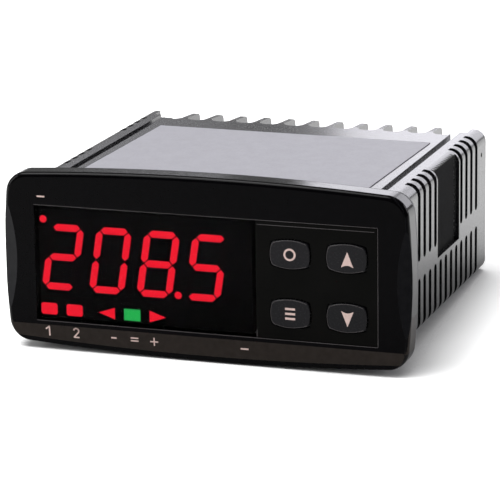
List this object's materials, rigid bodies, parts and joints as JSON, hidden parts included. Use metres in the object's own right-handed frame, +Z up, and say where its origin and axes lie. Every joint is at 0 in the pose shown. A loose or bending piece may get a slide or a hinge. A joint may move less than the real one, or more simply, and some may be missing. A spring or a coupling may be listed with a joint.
{
  "type": "pid temperature controller",
  "caption": "Panel-mounted temperature controller: a glossy front frame with a lit number display and push keys, a slotted housing and rear screw terminals.",
  "frame": {"origin": "centre of the panel plane, where the back face of the sealing gasket bears on the panel", "axes": "+X to the right as seen from the front, +Y back into the panel, +Z up"},
  "size_m": [0.078, 0.0687, 0.0344],
  "materials": {
    "housing_plastic": "satin",
    "bezel_plastic": "polished",
    "gasket_rubber": "matte",
    "window_tint": "polished",
    "keypad_plastic": "satin",
    "key_plastic": "satin",
    "plunger_plastic": "matte",
    "display_body": "matte",
    "digit_lit": "satin",
    "digit_dark": "satin",
    "light_red": "satin",
    "light_green": "satin",
    "board_laminate": "satin",
    "component_plastic": "matte",
    "film_plastic": "satin",
    "relay_plastic": "satin",
    "can_metal": "satin",
    "core_ferrite": "matte",
    "winding_tape": "satin",
    "terminal_plastic": "satin",
    "tinned_metal": "satin",
    "screw_steel": "satin",
    "label_film": "satin"
  },
  "bodies": {
    "instrument": {"housing": "housing_plastic", "front_bezel": "bezel_plastic", "panel_gasket": "gasket_rubber", "display_window": "window_tint", "keypad_plate": "keypad_plastic", "display_module": "display_body", "digit_bars_lit": "digit_lit", "digit_bars_dark": "digit_dark", "status_lights_red": "light_red", "status_light_green": "light_green", "front_board": "board_laminate", "main_board": "board_laminate", "header_strip": "component_plastic", "header_pins": "tinned_metal", "controller_chip": "component_plastic", "bridge_rectifier": "component_plastic", "film_capacitor": "film_plastic", "output_relays": "relay_plastic", "smoothing_capacitors": "can_metal", "transformer_foot": "component_plastic", "transformer_core": "core_ferrite", "transformer_winding": "winding_tape", "terminal_block": "terminal_plastic", "wire_clamps": "tinned_metal", "terminal_screws": "screw_steel", "terminal_pins": "tinned_metal", "top_label": "label_film", "switch_function": "component_plastic", "switch_program": "component_plastic", "switch_up": "component_plastic", "switch_down": "component_plastic"},
    "function_key": {"key_function": "key_plastic", "plunger_function": "plunger_plastic"},
    "program_key": {"key_program": "key_plastic", "plunger_program": "plunger_plastic"},
    "up_key": {"key_up": "key_plastic", "plunger_up": "plunger_plastic"},
    "down_key": {"key_down": "key_plastic", "plunger_down": "plunger_plastic"}
  },
  "joints": [
    {"name": "function_press", "type": "slide", "parent": "instrument", "child": "function_key", "axis": [0, 1, 0], "range_m": [0, 0.0005], "stiffness_N_per_m": 2000, "springref_m": -0.0002},
    {"name": "program_press", "type": "slide", "parent": "instrument", "child": "program_key", "axis": [0, 1, 0], "range_m": [0, 0.0005], "stiffness_N_per_m": 2000, "springref_m": -0.0002},
    {"name": "up_press", "type": "slide", "parent": "instrument", "child": "up_key", "axis": [0, 1, 0], "range_m": [0, 0.0005], "stiffness_N_per_m": 2000, "springref_m": -0.0002},
    {"name": "down_press", "type": "slide", "parent": "instrument", "child": "down_key", "axis": [0, 1, 0], "range_m": [0, 0.0005], "stiffness_N_per_m": 2000, "springref_m": -0.0002}
  ]
}
